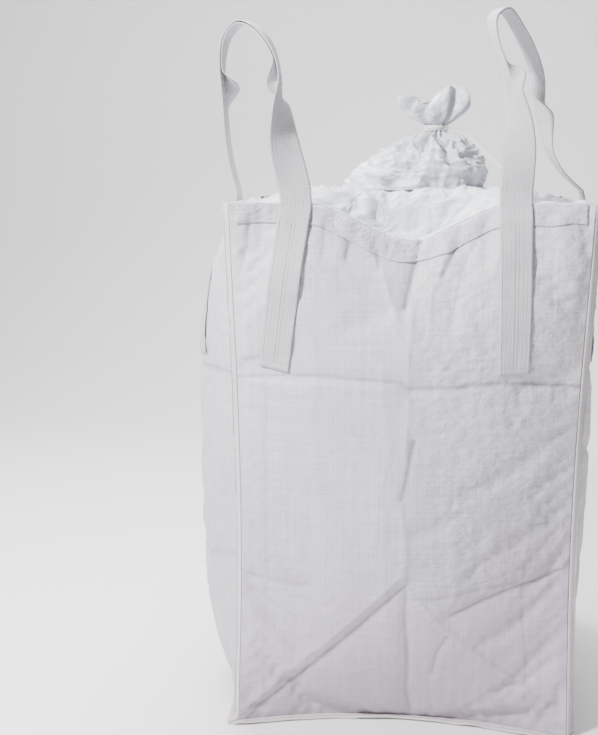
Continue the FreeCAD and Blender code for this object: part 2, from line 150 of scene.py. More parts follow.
# Centre line of each standing loop above its sewn legs, with the webbing's turn in plan, in degrees
STANDING = {
    "front_left": (
        (-0.283, -0.427, 1.430, 0), (-0.292, -0.434, 1.470, 8),
        (-0.308, -0.441, 1.540, 28), (-0.314, -0.440, 1.620, 60),
        (-0.320, -0.430, 1.700, 86), (-0.344, -0.408, 1.776, 78),
        (-0.386, -0.375, 1.828, 64), (-0.430, -0.340, 1.846, 60),
        (-0.470, -0.305, 1.814, 70), (-0.487, -0.280, 1.750, 84),
        (-0.486, -0.262, 1.670, 90), (-0.482, -0.252, 1.580, 90),
        (-0.470, -0.242, 1.490, 90), (-0.454, -0.237, 1.430, 90),
    ),
    "front_right": (
        (0.260, -0.423, 1.430, 0), (0.261, -0.430, 1.470, -6),
        (0.262, -0.435, 1.540, -22), (0.256, -0.434, 1.600, -42),
        (0.241, -0.428, 1.662, -62), (0.219, -0.416, 1.730, -72),
        (0.199, -0.402, 1.790, -70), (0.195, -0.382, 1.842, -60),
        (0.222, -0.350, 1.866, -52), (0.262, -0.318, 1.824, -46),
        (0.300, -0.290, 1.760, -44), (0.326, -0.270, 1.690, -50),
        (0.342, -0.252, 1.610, -66), (0.358, -0.240, 1.530, -84),
        (0.400, -0.236, 1.468, -90), (0.442, -0.236, 1.430, -90),
    ),
}
# Half of a loop that is folded down over the edge and hangs round a rear corner:
# across the wall, out, height
HANGING_HALF = (
    (0.270, 0.450, 1.409), (0.270, 0.458, 1.411), (0.270, 0.464, 1.402),
    (0.271, 0.472, 1.344), (0.274, 0.488, 1.274),
    (0.284, 0.502, 1.199), (0.318, 0.508, 1.134), (0.378, 0.506, 1.096), (0.440, 0.496, 1.078),
)
HANGING_MIDDLE = (0.502, 0.502, 1.067)
HANGING_EXTRA = {"rear_left": (0, 0, 0, 0.010, 0.020, 0.027, 0.024, 0.010, 0), "rear_right": (0,) * 9}
FOLDED_PART = (0.32, 0.68)  # the stretch of a loop's free length that is folded lengthwise

TAILS = {
    "spout_tie_tail_right": (
        (0.109, -0.045, 1.599), (0.134, -0.056, 1.593), (0.162, -0.066, 1.574), (0.190, -0.078, 1.548),
        (0.220, -0.092, 1.518), (0.250, -0.107, 1.488), (0.282, -0.122, 1.462), (0.318, -0.138, 1.447),
    ),
    "spout_tie_tail_rear": (
        (0.112, -0.030, 1.600), (0.132, -0.008, 1.596), (0.148, 0.020, 1.585), (0.162, 0.052, 1.566),
        (0.174, 0.086, 1.541), (0.186, 0.118, 1.511),
    ),
}


# ---- small maths ----


def smooth(t):
    t = np.clip(t, 0, 1)
    return t * t * (3 - 2 * t)


def patches(u, v, seed):
    """Smooth random values from -1 to 1, one independent value per unit of u and v."""
    table = np.random.default_rng(seed).uniform(-1, 1, (64, 64))
    iu, iv = np.floor(u).astype(int), np.floor(v).astype(int)
    fu, fv = smooth(u - iu), smooth(v - iv)
    low = table[iu % 64, iv % 64] * (1 - fu) + table[(iu + 1) % 64, iv % 64] * fu
    high = table[iu % 64, (iv + 1) % 64] * (1 - fu) + table[(iu + 1) % 64, (iv + 1) % 64] * fu
    return low * (1 - fv) + high * fv


def crumple(u, v, seed, octaves=3):
    """Sharp-crested random folds, from 0 to about 1."""
    total = 0
    for k in range(octaves):
        scale = 1.9**k
        total = total + (1 - np.abs(patches(u * scale + 7 * k, v * scale + 3 * k, seed + k)) * 2) / scale
    return total / 2


def distance_to(route, side, z):
    best = np.full(np.shape(side), np.inf)
    for (ax, az), (bx, bz) in zip(route, route[1:]):
        length2 = (bx - ax) ** 2 + (bz - az) ** 2
        t = np.clip(((side - ax) * (bx - ax) + (z - az) * (bz - az)) / length2, 0, 1)
        best = np.minimum(best, np.hypot(side - ax - t * (bx - ax), z - az - t * (bz - az)))
    return best


def lengths(path):
    """Distance along a path at each of its points."""
    return np.concatenate([[0], np.cumsum(np.linalg.norm(np.diff(path, axis=0), axis=1))])


def spline(points, count):
    """Evenly spaced rows on a smooth curve through rows of numbers whose first three are a place."""
    p = np.array(points, float)
    steps = np.maximum(np.linalg.norm(np.diff(p[:, :3], axis=0), axis=1), 1e-9)
    knots = np.concatenate([[0], np.cumsum(steps)])
    slopes = np.gradient(p, knots, axis=0)
    at = np.linspace(0, knots[-1], count)
    j = np.clip(np.searchsorted(knots, at, side="right") - 1, 0, len(knots) - 2)
    h = (knots[j + 1] - knots[j])[:, None]
    t = ((at - knots[j])[:, None]) / h
    return (
        p[j] * (1 + 2 * t) * (1 - t) ** 2 + slopes[j] * h * t * (1 - t) ** 2
        + p[j + 1] * t * t * (3 - 2 * t) + slopes[j + 1] * h * t * t * (t - 1)
    )


def refine(grid, rows, columns):
    """A grid of points resampled to rows by columns along smooth curves."""
    for axis, count in ((0, rows), (1, columns)):
        n = grid.shape[axis]
        at = np.linspace(0, n - 1, count)
        i = np.clip(np.floor(at).astype(int), 0, n - 2)
        t = (at - i).reshape((-1, 1, 1) if axis == 0 else (1, -1, 1))
        a, b, c, d = (np.take(grid, np.clip(i + k, 0, n - 1), axis) for k in (-1, 0, 1, 2))
        square, cube = 2 * a - 5 * b + 4 * c - d, 3 * b - a - 3 * c + d
        grid = 0.5 * (2 * b + (c - a) * t + square * t**2 + cube * t**3)
    return grid


def surface_normals(grid):
    along = np.gradient(grid, axis=0)
    up = np.gradient(grid, axis=1)
    normal = np.cross(along, up)
    return normal / np.maximum(np.linalg.norm(normal, axis=2, keepdims=True), 1e-12)


# ---- mesh making ----


def mesh_object(name, points, faces, uvs=None, attributes=None):
    mesh = bpy.data.meshes.new(name)
    mesh.from_pydata([tuple(p) for p in points], [], faces)
    mesh.polygons.foreach_set("use_smooth", [True] * len(mesh.polygons))
    if uvs is not None:
        layer = mesh.uv_layers.new(name="UVMap")
        loops = np.empty(len(mesh.loops), int)
        mesh.loops.foreach_get("vertex_index", loops)
        layer.data.foreach_set("uv", np.asarray(uvs, np.float32)[loops].ravel())
    for key, values in (attributes or {}).items():
        attribute = mesh.attributes.new(key, "FLOAT", "POINT")
        attribute.data.foreach_set("value", np.asarray(values, np.float32).ravel())
    mesh.update()
    obj = bpy.data.objects.new(name, mesh)
    bpy.context.scene.collection.objects.link(obj)
    return obj


def quads(index):
    """Faces between neighbours in a grid of point numbers."""
    corners = [index[:-1, :-1], index[1:, :-1], index[1:, 1:], index[:-1, 1:]]
    return np.stack(corners, -1).reshape(-1, 4).tolist()


def closed_index(n, m):
    """Point numbers of a grid whose last row joins back to the first."""
    index = np.arange(n * m).reshape(n, m)
    return np.vstack([index, index[:1]])


def cloth_marks(count, pebbled):
    """Attributes of cloth with no painted fold shade and an even pebbled share."""
    return {"painted_fold_shade": np.zeros(count), "pebbled": np.full(count, pebbled)}


def grid_object(name, grid, uv=None, attributes=None, closed=False):
    """A sheet from a grid of points; closed joins the last row back to the first."""
    n, m = grid.shape[:2]
    index = closed_index(n, m) if closed else np.arange(n * m).reshape(n, m)
    uvs = None if uv is None else uv.reshape(-1, 2)
    return mesh_object(name, grid.reshape(-1, 3), quads(index), uvs, attributes)


def thicken(obj, thickness, offset=-1.0):
    solidify = obj.modifiers.new("Thickness", "SOLIDIFY")
    solidify.thickness = thickness
    solidify.offset = offset
    return obj


def stitches(name, lines, spacing=0.0065, radius=0.0006, share=0.72):
    """Rows of thread: a line is a list of (place, outward) pairs, and a stitch is a short bent tube."""
    points, faces = [], []
    sides = 6
    profile = ((0, -0.7), (0.18, 0.5), (0.5, 1.0), (0.82, 0.5), (1, -0.7))
    for line in lines:
        places = np.array([tuple(p) for p, _ in line])
        outs = np.array([tuple(o) for _, o in line])
        steps = lengths(places)
        for k in range(int(steps[-1] / spacing)):
            start = k * spacing
            rings = []
            for t, lift in profile:
                at = start + t * share * spacing
                place = np.array([np.interp(at, steps, places[:, i]) for i in range(3)])
                out = np.array([np.interp(at, steps, outs[:, i]) for i in range(3)])
                rings.append((place + out * radius * lift, out))
            direction = rings[-1][0] - rings[0][0]
            direction = direction / max(np.linalg.norm(direction), 1e-9)
            base = len(points)
            for place, out in rings:
                side = np.cross(direction, out)
                for a in range(sides):
                    angle = 2 * math.pi * a / sides
                    points.append(place + (math.cos(angle) * out + math.sin(angle) * side) * radius)
            for r in range(len(rings) - 1):
                low, high = base + r * sides, base + (r + 1) * sides
                for a in range(sides):
                    b = (a + 1) % sides
                    faces.append((low + a, low + b, high + b, high + a))
            faces.append(tuple(base + a for a in reversed(range(sides))))
            faces.append(tuple(base + (len(rings) - 1) * sides + a for a in range(sides)))
    return mesh_object(name, points, faces)


# ---- materials ----


class Nodes:
    """A short way to write a node material."""

    def __init__(self, name):
        self.material = bpy.data.materials.new(name)
        self.material.use_nodes = True
        self.tree = self.material.node_tree
        self.shader = self.tree.nodes["Principled BSDF"]

    def set(self, socket, value):
        if isinstance(value, bpy.types.NodeSocket):
            self.tree.links.new(value, socket)
        else:
            socket.default_value = value

    def add(self, kind, output, inputs=(), **settings):
        node = self.tree.nodes.new(kind)
        for key, value in settings.items():
            setattr(node, key, value)
        for key, value in dict(inputs).items():
            self.set(node.inputs[key], value)
        return node.outputs[output]

    def math(self, operation, a, b=0.0):
        return self.add("ShaderNodeMath", 0, {0: a, 1: b}, operation=operation)

    def times(self, a, b):
        return self.math("MULTIPLY", a, b)

    def plus(self, a, b):
        return self.math("ADD", a, b)

    def minus(self, a, b):
        return self.math("SUBTRACT", a, b)

    def mix(self, factor, a, b):
        return self.add("ShaderNodeMix", 2, {0: factor, 6: a, 7: b}, data_type="RGBA")

    def ramp(self, value, low, high):
        return self.add("ShaderNodeMapRange", 0, {"Value": value, "From Min": low, "From Max": high})

    def noise(self, vector, scale, detail=3.0, rough=0.5):
        inputs = {"Vector": vector, "Scale": scale, "Detail": detail, "Roughness": rough}
        return self.add("ShaderNodeTexNoise", 0, inputs)

    def stretched(self, vector, scale):
        return self.add("ShaderNodeMapping", 0, {"Vector": vector, "Scale": scale})

    def bump(self, height, strength, distance, normal=None):
        inputs = {"Height": height, "Strength": strength, "Distance": distance}
        if normal is not None:
            inputs["Normal"] = normal
        return self.add("ShaderNodeBump", 0, inputs)

    def uv(self):
        return self.add("ShaderNodeUVMap", 0)

    def place(self):
        return self.add("ShaderNodeTexCoord", "Object")

    def attribute(self, name):
        return self.add("ShaderNodeAttribute", 2, attribute_name=name)

    def surface(self, **inputs):
        """Sets the shader's own sockets, named with underscores for spaces."""
        for key, value in inputs.items():
            self.set(self.shader.inputs[key.replace("_", " ")], value)
        return self.material


def shade(colour, red, green, blue):
    return (colour[0] * red, colour[1] * green, colour[2] * blue, 1)


def woven(nodes, uv, pitch_u, pitch_v):
    """Height and gaps of flat tapes that pass over and under one another."""
    parts = nodes.add("ShaderNodeSeparateXYZ", 0, {0: uv}).node
    wave_u = nodes.math("SINE", nodes.times(parts.outputs[0], math.pi / pitch_u))
    wave_v = nodes.math("SINE", nodes.times(parts.outputs[1], math.pi / pitch_v))
    warp = nodes.math("POWER", nodes.math("ABSOLUTE", wave_u), 0.35)
    weft = nodes.math("POWER", nodes.math("ABSOLUTE", wave_v), 0.35)
    covered = nodes.times(warp, weft)
    return nodes.plus(covered, nodes.times(nodes.times(wave_u, wave_v), 0.18)), covered


def gap_shade(nodes, covered, depth):
    """How much painted shade darkens a weave's gaps, up to a depth."""
    return nodes.times(nodes.minus(1.0, covered), depth)


def cloth_material(name, top, bottom, pebble, crinkle=0.0):
    """Laminated tape weave, with painted shade along its fold lines and in the weave's gaps, and pebbled
    where it has bunched.
    """
    nodes = Nodes(name)
    uv, place = nodes.uv(), nodes.place()
    height, covered = woven(nodes, uv, 0.0034, 0.0036)
    z = nodes.add("ShaderNodeSeparateXYZ", 2, {0: place})
    cloudy = nodes.noise(place, 3.2, 4.0, 0.6)
    level = nodes.plus(nodes.ramp(z, 0.0, 1.25), nodes.times(nodes.minus(cloudy, 0.5), 0.7))
    level = nodes.math("MINIMUM", nodes.math("MAXIMUM", level, 0.0), 1.0)
    colour = nodes.mix(level, bottom, top)
    streaks = nodes.noise(nodes.stretched(uv, (170.0, 2.5, 1.0)), 1.0, 2.0)
    cross = nodes.noise(nodes.stretched(uv, (5.0, 190.0, 1.0)), 1.0, 2.0)
    tape = nodes.times(nodes.minus(nodes.plus(streaks, cross), 1.0), 0.75)
    colour = nodes.mix(nodes.plus(0.18, tape), colour, shade(bottom, 0.7, 0.68, 0.7))
    # painted shade in the weave's gaps
    colour = nodes.mix(gap_shade(nodes, covered, 0.22), colour, (0.28, 0.26, 0.30, 1))
    # painted shade along the fold lines
    colour = nodes.mix(nodes.times(nodes.attribute("painted_fold_shade"), 0.85), colour, (0.17, 0.15, 0.19, 1))
    grime = nodes.ramp(nodes.noise(place, 9.0, 6.0, 0.7), 0.60, 0.78)
    colour = nodes.mix(nodes.times(grime, 0.10), colour, (0.52, 0.48, 0.48, 1))
    pebbles = nodes.noise(nodes.stretched(uv, (55.0, 85.0, 1.0)), 1.0, 3.0, 0.55)
    share = nodes.plus(pebble * 0.35, nodes.times(nodes.attribute("pebbled"), pebble))
    normal = nodes.bump(height, 0.40, 0.0005)
    normal = nodes.bump(nodes.times(pebbles, share), 0.75, 0.0045, normal)
    normal = nodes.bump(nodes.noise(place, 26.0, 4.0, 0.6), 0.45 + crinkle, 0.0050, normal)
    return nodes.surface(
        Base_Color=colour, Roughness=nodes.plus(0.38, nodes.times(cloudy, 0.22)), Normal=normal,
        Specular_IOR_Level=0.42, Sheen_Weight=0.06,
    )


def film_material(name, colour, strength):
    """Thin coated cloth that crinkles into small flat facets."""
    nodes = Nodes(name)
    uv, place = nodes.uv(), nodes.place()
    bend = nodes.noise(place, 14.0, 3.0)
    normal = None
    for scale, depth in ((7.0, 0.030), (17.0, 0.012), (42.0, 0.004)):
        inputs = {"Vector": place, "Scale": scale, "Detail": 1.5, "Roughness": 0.5, "Distortion": 0.9}
        creases = nodes.add("ShaderNodeTexNoise", 0, inputs)
        ridge = nodes.math("ABSOLUTE", nodes.minus(creases, 0.5))
        normal = nodes.bump(ridge, 0.55 * strength, depth, normal)
    fine = nodes.noise(nodes.stretched(uv, (420.0, 420.0, 1.0)), 1.0, 1.0)
    normal = nodes.bump(fine, 0.12, 0.0004, normal)
    tone = nodes.mix(nodes.ramp(bend, 0.35, 0.75), colour, shade(colour, 0.90, 0.91, 0.93))
    grey = nodes.ramp(nodes.noise(place, 40.0, 4.0, 0.7), 0.62, 0.80)
    tone = nodes.mix(nodes.times(grey, 0.16), tone, (0.45, 0.46, 0.50, 1))
    rough = nodes.plus(0.26, nodes.times(bend, 0.22))
    return nodes.surface(Base_Color=tone, Roughness=rough, Normal=normal, Specular_IOR_Level=0.5)


def webbing_material():
    """Thick ribbed webbing with loose surface fibres."""
    nodes = Nodes("webbing_weave")
    uv, place = nodes.uv(), nodes.place()
    height, covered = woven(nodes, uv, 0.0040, 0.0050)
    fibres = nodes.noise(nodes.stretched(uv, (1800.0, 90.0, 1.0)), 1.0, 2.0)
    across = nodes.add("ShaderNodeSeparateXYZ", 0, {0: uv})
    ribs = nodes.math("ABSOLUTE", nodes.math("SINE", nodes.times(across, math.pi / 0.0100)))
    colour = nodes.mix(nodes.noise(place, 20.0, 4.0), (0.64, 0.64, 0.67, 1), (0.52, 0.51, 0.55, 1))
    # painted shade in the webbing weave's gaps
    colour = nodes.mix(gap_shade(nodes, covered, 0.45), colour, (0.26, 0.25, 0.29, 1))
    colour = nodes.mix(nodes.times(fibres, 0.16), colour, (0.50, 0.49, 0.52, 1))
    normal = nodes.bump(height, 1.0, 0.0012)
    normal = nodes.bump(ribs, 0.35, 0.0008, normal)
    normal = nodes.bump(nodes.noise(place, 60.0, 3.0), 0.30, 0.0014, normal)
    rough = nodes.plus(0.48, nodes.times(fibres, 0.2))
    return nodes.surface(Base_Color=colour, Roughness=rough, Normal=normal, Sheen_Weight=0.12)


def thread_material(name, colour):
    nodes = Nodes(name)
    place = nodes.place()
    tone = nodes.mix(nodes.noise(place, 30.0, 3.0), colour, shade(colour, 0.72, 0.70, 0.72))
    twist = nodes.bump(nodes.noise(place, 900.0, 2.0), 0.5, 0.0003)
    return nodes.surface(Base_Color=tone, Roughness=0.62, Normal=twist)


def tape_material():
    nodes = Nodes("tie_tape_weave")
    uv, place = nodes.uv(), nodes.place()
    height, covered = woven(nodes, uv, 0.0016, 0.0018)
    colour = nodes.mix(nodes.noise(place, 60.0, 3.0), (0.84, 0.84, 0.84, 1), (0.70, 0.70, 0.72, 1))
    # painted shade in the tape weave's gaps
    colour = nodes.mix(gap_shade(nodes, covered, 0.3), colour, (0.45, 0.45, 0.47, 1))
    return nodes.surface(Base_Color=colour, Roughness=0.5, Normal=nodes.bump(height, 0.5, 0.0003))


def floor_material():
    nodes = Nodes("studio_floor")
    tone = nodes.mix(nodes.noise(nodes.place(), 2.0, 3.0), (0.86, 0.86, 0.86, 1), (0.83, 0.83, 0.835, 1))
    return nodes.surface(Base_Color=tone, Roughness=0.7)


MATERIALS = {
    "wall": cloth_material("laminated_weave", (0.66, 0.65, 0.70, 1), (0.47, 0.42, 0.49, 1), 1.0),
    # the hem's greyer tone than the wall is painted shade of the band under the top edge
    "hem": cloth_material("hem_weave_painted_shade", (0.60, 0.59, 0.64, 1), (0.50, 0.48, 0.54, 1), 1.2, crinkle=0.3),
    "seam": cloth_material("seam_weave", (0.68, 0.65, 0.68, 1), (0.66, 0.60, 0.62, 1), 0.6),
    "film": film_material("crinkled_film", (0.58, 0.60, 0.64, 1), 1.5),
    "spout": film_material("spout_film", (0.60, 0.62, 0.66, 1), 1.3),
    "webbing": webbing_material(),
    "thread": thread_material("sewing_thread", (0.66, 0.64, 0.66, 1)),
    "edge_thread": thread_material("seam_thread", (0.52, 0.40, 0.40, 1)),
    "tape": tape_material(),
    "floor": floor_material(),
}


def finish_piece(obj, material, slot, body, *nodes):
    """Gives a piece its material and what it stands for; a piece with no body is not attached, and its
    maker bakes its transform.
    """
    obj.data.materials.append(MATERIALS[material])
    if body:
        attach(obj, body)
    if nodes:
        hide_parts(*nodes)
    return obj


# ---- walls ----


def cad_tree(node):
    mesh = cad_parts[node].data
    return BVHTree.FromPolygons([v.co for v in mesh.vertices], [tuple(p.vertices) for p in mesh.polygons])


def half_width(z):
    return np.interp(np.asarray(z) / HEIGHT, np.linspace(0, 1, HALF_SAMPLES), HALVES)


def smooth_halves():
    rows = [(s, h, 0) for s, h in zip(SEAM_SHARES, SEAM_HALVES)]
    curve = spline(rows, 400)
    return np.interp(np.linspace(0, 1, HALF_SAMPLES), curve[:, 0], curve[:, 1])


HALVES = smooth_halves()


def top_edge(wall, s):
    depth, reach = SAG[wall]
    return HEIGHT - depth * smooth(1 - np.abs(s) / reach)


def wall_base(wall, columns, rows):
    """The CAD wall's outer face as a grid of points, with their places along the wall and their heights."""
    along, outward = WALLS[wall]
    tree = cad_tree(f"{wall}_panel")
    s = np.linspace(-1, 1, columns)
    side, z = np.empty((columns, rows)), np.empty((columns, rows))
    for i in range(columns):
        low = FLOOR_SEAM + 0.0006
        z[i] = low + (top_edge(wall, s[i]) - low) * np.linspace(0, 1, rows)
        side[i] = s[i] * (half_width(z[i]) - 0.003)
    grid = np.empty((columns, rows, 3))
    for i in range(columns):
        for j in range(rows):
            height = min(z[i, j], top_edge(wall, s[i]) - 0.001)
            start = along * (side[i, j] * 0.9995) + outward * 1.2 + Vector((0, 0, height))
            hit = tree.ray_cast(start, -outward, 1.5)[0]
            reach = hit.dot(outward) if hit is not None else float(half_width(z[i, j]))
            grid[i, j] = along * side[i, j] + outward * reach + Vector((0, 0, z[i, j]))
    return grid, side, z


def settle(bases, swell=0.010, frames=16):
    """Cloth simulation: each wall, cut slightly too large, buckles and sags between its sewn edges."""
    scene = bpy.context.scene
    made = []
    for wall, (grid, _, _) in bases.items():
        n, m = grid.shape[:2]
        obj = grid_object(f"settling_{wall}", grid)
        index = np.arange(n * m).reshape(n, m)
        edge = np.unique(np.concatenate([index[0], index[-1], index[:, 0], index[:, -1]]))
        pins = obj.vertex_groups.new(name="sewn")
        pins.add([int(k) for k in edge], 1.0, "REPLACE")
        cloth = obj.modifiers.new("Cloth", "CLOTH")
        cloth.point_cache.frame_start, cloth.point_cache.frame_end = 1, frames
        cloth.settings.vertex_group_mass = "sewn"
        cloth.settings.quality = 5
        cloth.settings.mass = 0.15
        cloth.settings.tension_stiffness = 30
        cloth.settings.compression_stiffness = 30
        cloth.settings.shear_stiffness = 15
        cloth.settings.bending_stiffness = 0.6
        cloth.settings.shrink_min = -swell
        cloth.settings.use_pressure = True
        cloth.settings.uniform_pressure_force = 0.8
        cloth.settings.effector_weights.gravity = 0.4
        made.append((wall, grid, obj))
    for frame_number in range(1, frames + 1):
        scene.frame_set(frame_number)
    depsgraph = bpy.context.evaluated_depsgraph_get()
    moved = {}
    for wall, grid, obj in made:
        mesh = obj.evaluated_get(depsgraph).data
        after = np.empty(len(mesh.vertices) * 3)
        mesh.vertices.foreach_get("co", after)
        moved[wall] = after.reshape(grid.shape) - grid
    for _, _, obj in made:
        bpy.data.objects.remove(obj)
    scene.frame_set(1)
    return moved


def limit(vectors, cap):
    length = np.linalg.norm(vectors, axis=2, keepdims=True)
    return vectors * (cap / np.maximum(length, cap))


def wall_details(wall, side, z):
    """Height of the folds and wrinkles over a wall, the painted shade along fold lines, and where it is
    pebbled.
    """
    folds = FRONT_FOLDS if wall == "front" else PLAIN_FOLDS
    seed = {"front": 11, "right": 31, "rear": 51, "left": 71}[wall]
    wander_x = side + 0.006 * patches(z * 9, side * 9, seed)
    wander_z = z + 0.006 * patches(side * 9, z * 9, seed + 1)
    rise, line = np.zeros(side.shape), np.zeros(side.shape)
    for route, height, width, dark in folds:
        d = distance_to(route, wander_x, wander_z)
        rise += height * np.exp(-d / width)
        uneven = 0.75 + 0.25 * patches(side * 30, z * 30, seed + 9)
        # line is the painted shade along each fold, as deep as the fold's darkness share
        line = np.maximum(line, dark * uneven * np.exp(-((d / 0.0058) ** 2)))
    share = z / HEIGHT
    inside = smooth((1 - np.abs(side) / half_width(z)) / 0.10)
    inside = inside * smooth(share / 0.05) * smooth((1 - share) / 0.04)
    rise += 0.006 * patches(side * 4.2 + 5, z * 3.4, seed + 2)
    rise += 0.0025 * crumple(side * 11, z * 7, seed + 3, 2)
    if wall == "front":
        bunched = smooth((side + 0.02) / 0.12)
    else:
        bunched = smooth(patches(side * 3, z * 3, seed + 4) + 0.6)
    band = smooth((z - 0.30) / 0.15) * bunched
    pebbled = 0.25 + 0.75 * band
    pebbles = 0.0024 * band * patches(side * 46, z * 70, seed + 5)
    rise += pebbles * (0.6 + 0.4 * patches(side * 6, z * 6, seed + 8))
    rise += 0.0006 * patches(side * 60, z * 30, seed + 6)
    return rise * inside, line, pebbled


def make_walls():
    coarse = {wall: wall_base(wall, 46, 70) for wall in WALLS}
    moved = settle(coarse)
    built = {}
    for wall in WALLS:
        columns, rows = (241, 361) if wall == "front" else (151, 227)
        grid = refine(coarse[wall][0], columns, rows)
        side = refine(coarse[wall][1][..., None], columns, rows)[..., 0]
        z = refine(coarse[wall][2][..., None], columns, rows)[..., 0]
        grid = grid + refine(limit(moved[wall], 0.012), columns, rows)
        rise, line, pebbled = wall_details(wall, side, z)
        outward = np.array(WALLS[wall][1])
        normal = surface_normals(grid)
        normal = normal * np.sign(normal @ outward)[..., None]
        grid = grid + normal * rise[..., None]
        grid[..., 2] = np.maximum(grid[..., 2], FLOOR_SEAM + 0.0006)
        uv = np.stack([side, z], -1)
        # line is handed on as the painted shade along the folds
        obj = grid_object(f"{wall}_wall", grid, uv, {"painted_fold_shade": line, "pebbled": pebbled})
        thicken(obj, CLOTH, 1.0 if wall_faces_in(grid, outward) else -1.0)
        finish_piece(obj, "wall", "woven_cloth", "bag", f"{wall}_panel")
        built[wall] = grid
    return built


def wall_faces_in(grid, outward):
    normal = surface_normals(grid)
    return float((normal @ outward).mean()) < 0


class WallSkin:
    """Finds places on a finished wall's outer face."""

    def __init__(self, wall, grid):
        self.along, self.outward = WALLS[wall]
        n, m = grid.shape[:2]
        faces = quads(np.arange(n * m).reshape(n, m))
        self.tree = BVHTree.FromPolygons([tuple(p) for p in grid.reshape(-1, 3)], faces)

    def at(self, side, z, out=0.0):
        start = self.along * side + self.outward * 1.2 + Vector((0, 0, z))
        hit, normal, _, _ = self.tree.ray_cast(start, -self.outward, 1.5)
        if hit is None:
            near = self.along * side + self.outward * 0.43 + Vector((0, 0, z))
            hit, normal, _, _ = self.tree.find_nearest(near)
        if normal.dot(self.outward) < 0:
            normal = -normal
        return hit + normal * out, normal


# ---- hems, seams and base ----


def make_hems(skins):
    for wall, skin in skins.items():
        columns, rows = 181, 15
        grid = np.empty((columns, rows, 3))
        uv = np.empty((columns, rows, 2))
        for i, s in enumerate(np.linspace(-0.955, 0.955, columns)):
            top = float(top_edge(wall, s))
            for j, t in enumerate(np.linspace(0, 1, rows)):
                side, z = s * HALF_WIDTH, top - 0.003 - HEM * t
                slack = float(np.exp(-((s / 0.5) ** 2))) if wall == "front" else 0.35
                waves = float(crumple(np.array(s * 13 + 0.6 * t), np.array(t * 0.8), 5, 2))
                ruffle = 0.0065 * slack * waves * (1 - 0.75 * t)
                z += 0.004 * float(patches(np.array(s * 8), np.array(t * 0.0), 6)) * t
                grid[i, j], _ = skin.at(side, z, 0.0022 + ruffle + 0.0010 * (1 - t))
                uv[i, j] = (side, z)
        obj = grid_object(f"{wall}_hem", grid, uv, cloth_marks(columns * rows, 1.0))
        thicken(obj, CLOTH, 0.0)
        finish_piece(obj, "hem", "hem_cloth", "bag", f"{wall}_top_hem")


def make_corners():
    for name, (sx, sy) in CORNERS.items():
        seed = 90 + 2 * sx + sy
        rows, columns = 281, 7
        z = np.linspace(FLOOR_SEAM + 0.001, HEIGHT - 0.001, rows)
        half = half_width(z)
        grid = np.empty((columns, rows, 3))
        for i, t in enumerate(np.linspace(0, 1, columns)):
            sway = 0.0035 * patches(z * 9, z * 0 + 1.5, seed) * t
            sway = sway + 0.0012 * patches(z * 34, z * 0 + t, seed + 3) * t
            width = SEAM * (1 + 0.10 * patches(z * 14, z * 0, seed + 7))
            lean = (0.85 if name == "front_left" else 0.5) * smooth(t * 1.2)
            lean = lean * (0.9 + 0.3 * patches(z * 5, z * 0, seed + 9))
            grid[i, :, 0] = sx * (half - 0.002 + (width + 0.002) * t * (1 - 0.45 * lean))
            grid[i, :, 1] = sy * (half - 0.0022 - width * lean) + sway
            grid[i, :, 2] = z
        uv = np.stack([grid[..., 0], grid[..., 2]], -1)
        obj = grid_object(f"corner_fin_{name}", grid, uv, cloth_marks(columns * rows, 0.4))
        thicken(obj, 0.0024, 0.0)
        finish_piece(obj, "seam", "seam_cloth", "bag", f"corner_seam_{name}")
        lines = []
        for share in (0.45, 0.92):
            at = share * (columns - 1)
            low = int(at)
            row = grid[low] * (1 - at + low) + grid[min(low + 1, columns - 1)] * (at - low)
            lines.append([(p + np.array((0, sy * 0.0021, 0)), (0, sy, 0)) for p in row[4:-4:4]])
        thread = stitches(f"corner_thread_{name}", lines, 0.0085, 0.0007)
        finish_piece(thread, "edge_thread", "sewing_thread", "bag", f"corner_stitching_{name}")


def base_line(wall, walls):
    return walls[wall][:, 0, :].copy()


def make_base(walls):
    rings = []
    loop = np.vstack([base_line(w, walls)[:-1:3] for w in ("front", "right", "rear", "left")])
    for t in np.linspace(0, 1, 26):
        ring = loop * (1 - t)
        ring[:, 2] = 0.0016 + 0.0006 * patches(ring[:, 0] * 12, ring[:, 1] * 12, 8)
        ring[:, :2] *= 0.994
        rings.append(ring)
    grid = np.array(rings[:-1]).transpose(1, 0, 2)
    n, m = grid.shape[:2]
    index, centre = closed_index(n, m), n * m
    faces = quads(index)
    faces += [(int(index[k, -1]), int(index[k + 1, -1]), centre) for k in range(n)]
    points = np.vstack([grid.reshape(-1, 3), [[0, 0, 0.0016]]])
    obj = mesh_object("base_sheet", points, faces, points[:, :2], cloth_marks(len(points), 0.3))
    thicken(obj, CLOTH, 0.0)
    finish_piece(obj, "wall", "woven_cloth", "bag", "base_panel")


